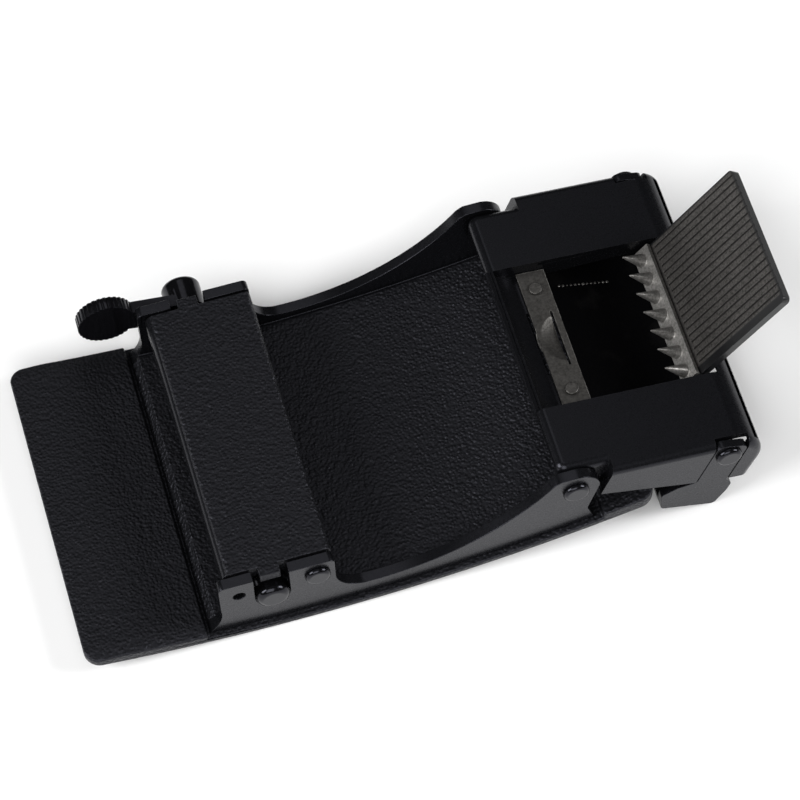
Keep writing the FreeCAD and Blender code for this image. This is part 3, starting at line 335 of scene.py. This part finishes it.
# ---------------------------------------------------------------- meshes
def own_mesh(node):
    """A welded copy of a CAD node's mesh with its flat faces joined up."""
    mesh = frame["nodes"][node].data.copy()
    mesh.name = node + "_look"
    bm = bmesh.new()
    bm.from_mesh(mesh)
    bmesh.ops.remove_doubles(bm, verts=bm.verts, dist=2e-7)
    bmesh.ops.dissolve_limit(bm, angle_limit=math.radians(0.4), verts=bm.verts, edges=bm.edges)
    bmesh.ops.recalc_face_normals(bm, faces=bm.faces)
    if node == "face_plate":
        lower_border(bm)
    for face in bm.faces:
        face.smooth = True
    bm.to_mesh(mesh)
    bm.free()
    for name in ("custom_normal", "sharp_edge"):
        if name in mesh.attributes:
            mesh.attributes.remove(mesh.attributes[name])
    return mesh


def lower_border(bm):
    """Slopes the raised back of the face plate down along its long sides."""
    low, high = (Vector(v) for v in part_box("face_plate"))
    cuts = [((low.x + END_SLOPE, 0, 0), (1, 0, 0)), ((0, low.y + SIDE_SLOPE, 0), (0, 1, 0)),
            ((0, high.y - SIDE_SLOPE, 0), (0, 1, 0))]
    for place, normal in cuts:
        bmesh.ops.bisect_plane(bm, geom=bm.verts[:] + bm.edges[:] + bm.faces[:], dist=1e-7,
                               plane_co=place, plane_no=normal)
    bm.normal_update()
    raised = [f for f in bm.faces if f.normal.z > 0.8 and f.calc_center_median().x < STEP_X]
    tops = {v for f in raised for v in f.verts}
    for vert in tops:
        side = min(vert.co.y - low.y, high.y - vert.co.y)
        share = max(1.0 - side / SIDE_SLOPE, 0.0)
        if vert.co.x < STEP_X + 0.1 * MM:
            vert.co.z -= SIDE_DROP * share


END_SLOPE = 4.0 * MM
SIDE_SLOPE = 2.2 * MM
SIDE_DROP = 0.28 * MM
STEP_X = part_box("face_plate")[0][0] + 14.1 * MM


def refined(node, bevel, segments=3, angle=38.0):
    """Finished piece that stands for a CAD node: same shape with rounded edges."""
    piece = bpy.data.objects.new(node + "_look", own_mesh(node))
    bpy.context.scene.collection.objects.link(piece)
    piece.data.materials.clear()
    piece.data.materials.append(OWN_MATERIAL.get(node) or MATERIALS[SLOT_OF[node]])
    if bevel:
        mod = piece.modifiers.new("edges", "BEVEL")
        mod.width = bevel * MM
        mod.segments = segments
        mod.limit_method = "ANGLE"
        mod.angle_limit = math.radians(angle)
        mod.use_clamp_overlap = True
        mod.harden_normals = False
    normals = piece.modifiers.new("normals", "WEIGHTED_NORMAL")
    normals.mode = "FACE_AREA_WITH_ANGLE"
    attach(piece, BODY_OF[node])
    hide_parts(node)
    return piece


EDGES = {
    "face_plate": 0.22, "frame_bracket": 0.16, "spring_rivet": 0.08, "pawl_bar": 0.12,
    "pawl_shaft": 0.1, "pawl_tooth": 0.1, "release_lever": 0.06, "clamp_box": 0.16,
    "box_rivet_near": 0.08, "box_rivet_far": 0.08, "box_floor": 0.06, "latch_strip": 0.05,
    "latch_rivet_near": 0.04, "latch_rivet_far": 0.04, "flap_pin": 0.08, "keeper_loop": 0.18,
    "clamp_flap": 0.04, "tooth_comb": 0.04,
}
for node_name, edge in EDGES.items():
    refined(node_name, edge)


def wire(name, points, radius):
    """Round wire through the points, as a mesh."""
    curve = bpy.data.curves.new(name, "CURVE")
    curve.dimensions = "3D"
    curve.bevel_depth = radius
    curve.bevel_resolution = 5
    curve.use_fill_caps = True
    line = curve.splines.new("POLY")
    line.points.add(len(points) - 1)
    for point, place in zip(line.points, points):
        point.co = (*place, 1.0)
    shape = bpy.data.objects.new(name + "_path", curve)
    bpy.context.scene.collection.objects.link(shape)
    bpy.context.view_layer.update()
    mesh = bpy.data.meshes.new_from_object(shape.evaluated_get(bpy.context.evaluated_depsgraph_get()))
    bpy.data.objects.remove(shape)
    for face in mesh.polygons:
        face.use_smooth = True
    mesh.materials.clear()
    mesh.materials.append(MATERIALS["spring_wire"])
    piece = bpy.data.objects.new(name, mesh)
    bpy.context.scene.collection.objects.link(piece)
    return piece


def spring(node, side):
    """Closed coil round the rivet, one leg under the bar and one hooked in the ear."""
    low, high = (Vector(v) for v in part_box(node))
    outer = (high.z - low.z) / 2
    radius = 0.2 * MM
    mean = outer - radius
    centre = Vector((high.x - outer, 0.0, (high.z + low.z) / 2))
    inner_y = (low.y if side > 0 else high.y) + side * radius
    outer_y = high.y if side > 0 else low.y
    turns, steps = 5, 28
    coil = []
    for i in range(turns * steps + 1):
        turn = 2 * math.pi * i / steps
        coil.append(Vector((centre.x - mean * math.sin(turn), inner_y + side * COIL_PITCH * i / steps,
                            centre.z + mean * math.cos(turn))))
    hook = Vector((low.x + 1.1 * radius, coil[-1].y, SPARE_Z))
    anchored = coil + [hook + Vector((radius, 0, 0)), hook + Vector((0, side * radius, 0)),
                       Vector((hook.x, outer_y, SPARE_Z))]
    body = wire(node + "_coil", anchored, radius)
    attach(body, "frame")
    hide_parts(node)
    tip = Vector((coil[0].x - UPPER_LEG, coil[0].y, coil[0].z))
    leg_points = [coil[0].lerp(tip, i / 12) for i in range(13)]
    leg = wire(node + "_leg", leg_points, radius)
    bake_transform(leg)


COIL_PITCH = 0.41 * MM
UPPER_LEG = 8.0 * MM
SPARE_Z = 8.6 * MM
spring("pawl_spring_far", 1)
spring("pawl_spring_near", -1)


def weld_beads():
    """Row of small weld beads on the floor of the clamp box."""
    low, high = (Vector(v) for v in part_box("box_floor"))
    floor = bpy.data.objects["box_floor_look"]
    mesh = bpy.data.meshes.new("weld_beads")
    bm = bmesh.new()
    for i in range(BEADS):
        x = low.x + (2.0 + i * 0.5) * MM
        y = high.y - 9.6 * MM
        hit, place, _, _ = floor.ray_cast(Vector((x, y, high.z + MM)), Vector((0, 0, -1)))
        if hit:
            size = (0.16 + 0.03 * math.sin(2.3 * i)) * MM
            turn = Matrix.Translation(place) @ Matrix.Diagonal((size, size, 0.6 * size, 1.0))
            bmesh.ops.create_icosphere(bm, subdivisions=2, radius=1.0, matrix=turn)
    for face in bm.faces:
        face.smooth = True
    bm.to_mesh(mesh)
    bm.free()
    piece = bpy.data.objects.new("weld_beads", mesh)
    bpy.context.scene.collection.objects.link(piece)
    mesh.materials.append(MATERIALS["bare_steel"])
    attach(piece, "clamp")


BEADS = 13
weld_beads()


# ----------------------------------------------------------------- stage
def build_floor():
    mesh = bpy.data.meshes.new("floor")
    size = 3.0
    mesh.from_pydata([(-size, -size, 0), (size, -size, 0), (size, size, 0), (-size, size, 0)],
                     [], [(0, 1, 2, 3)])
    floor = bpy.data.objects.new("floor", mesh)
    bpy.context.scene.collection.objects.link(floor)
    n = Nodes("floor")
    n.set(Base_Color=n.mix(n.noise(4.0), rgb(0.93, 0.93, 0.93), rgb(0.95, 0.95, 0.95)), Roughness=0.9)
    mesh.materials.append(n.mat)


def area_light(name, place, aim, size, power, size_y=None):
    data = bpy.data.lights.new(name, "AREA")
    data.shape = "RECTANGLE"
    data.size = size
    data.size_y = size_y or size
    data.energy = power
    lamp = bpy.data.objects.new(name, data)
    lamp.location = place
    lamp.rotation_euler = (Vector(aim) - Vector(place)).to_track_quat("-Z", "Y").to_euler()
    bpy.context.scene.collection.objects.link(lamp)
    return lamp


def build_world():
    world = bpy.data.worlds.new("studio")
    bpy.context.scene.world = world
    world.use_nodes = True
    back = world.node_tree.nodes["Background"]
    back.inputs["Color"].default_value = rgb(1.0, 1.0, 1.0)
    back.inputs["Strength"].default_value = WORLD_LIGHT


def build_camera():
    data = bpy.data.cameras.new("camera")
    data.lens = CAM_LENS
    data.sensor_width = 36.0
    data.clip_start = 0.01
    camera = bpy.data.objects.new("camera", data)
    e, a, r = (math.radians(v) for v in (CAM_ELEVATION, CAM_AZIMUTH, CAM_ROLL))
    back = Vector((math.sin(a) * math.cos(e), -math.cos(a) * math.cos(e), math.sin(e)))
    right = Vector((math.cos(a), math.sin(a), 0.0))
    up = back.cross(right)
    rolled_right = right * math.cos(r) - up * math.sin(r)
    rolled_up = up * math.cos(r) + right * math.sin(r)
    turn = Matrix((rolled_right, rolled_up, back)).transposed()
    place = Vector(CAM_TARGET) + back * CAM_DISTANCE
    camera.matrix_world = Matrix.Translation(place) @ turn.to_4x4()
    bpy.context.scene.collection.objects.link(camera)
    bpy.context.scene.camera = camera


build_floor()
build_world()
area_light("front", (-0.25, -0.75, 0.75), (0, 0, 0), 0.8, 7.0)
area_light("over", (0.05, 0.35, 0.9), (0, 0, 0), 0.5, 0.7)
area_light("left", (-0.9, -0.1, 0.6), (0, 0, 0), 0.6, 11.0)
area_light("right", (0.9, -0.2, 0.6), (0, 0, 0), 0.5, 8.0)
build_camera()
bpy.context.scene.view_settings.view_transform = "Standard"
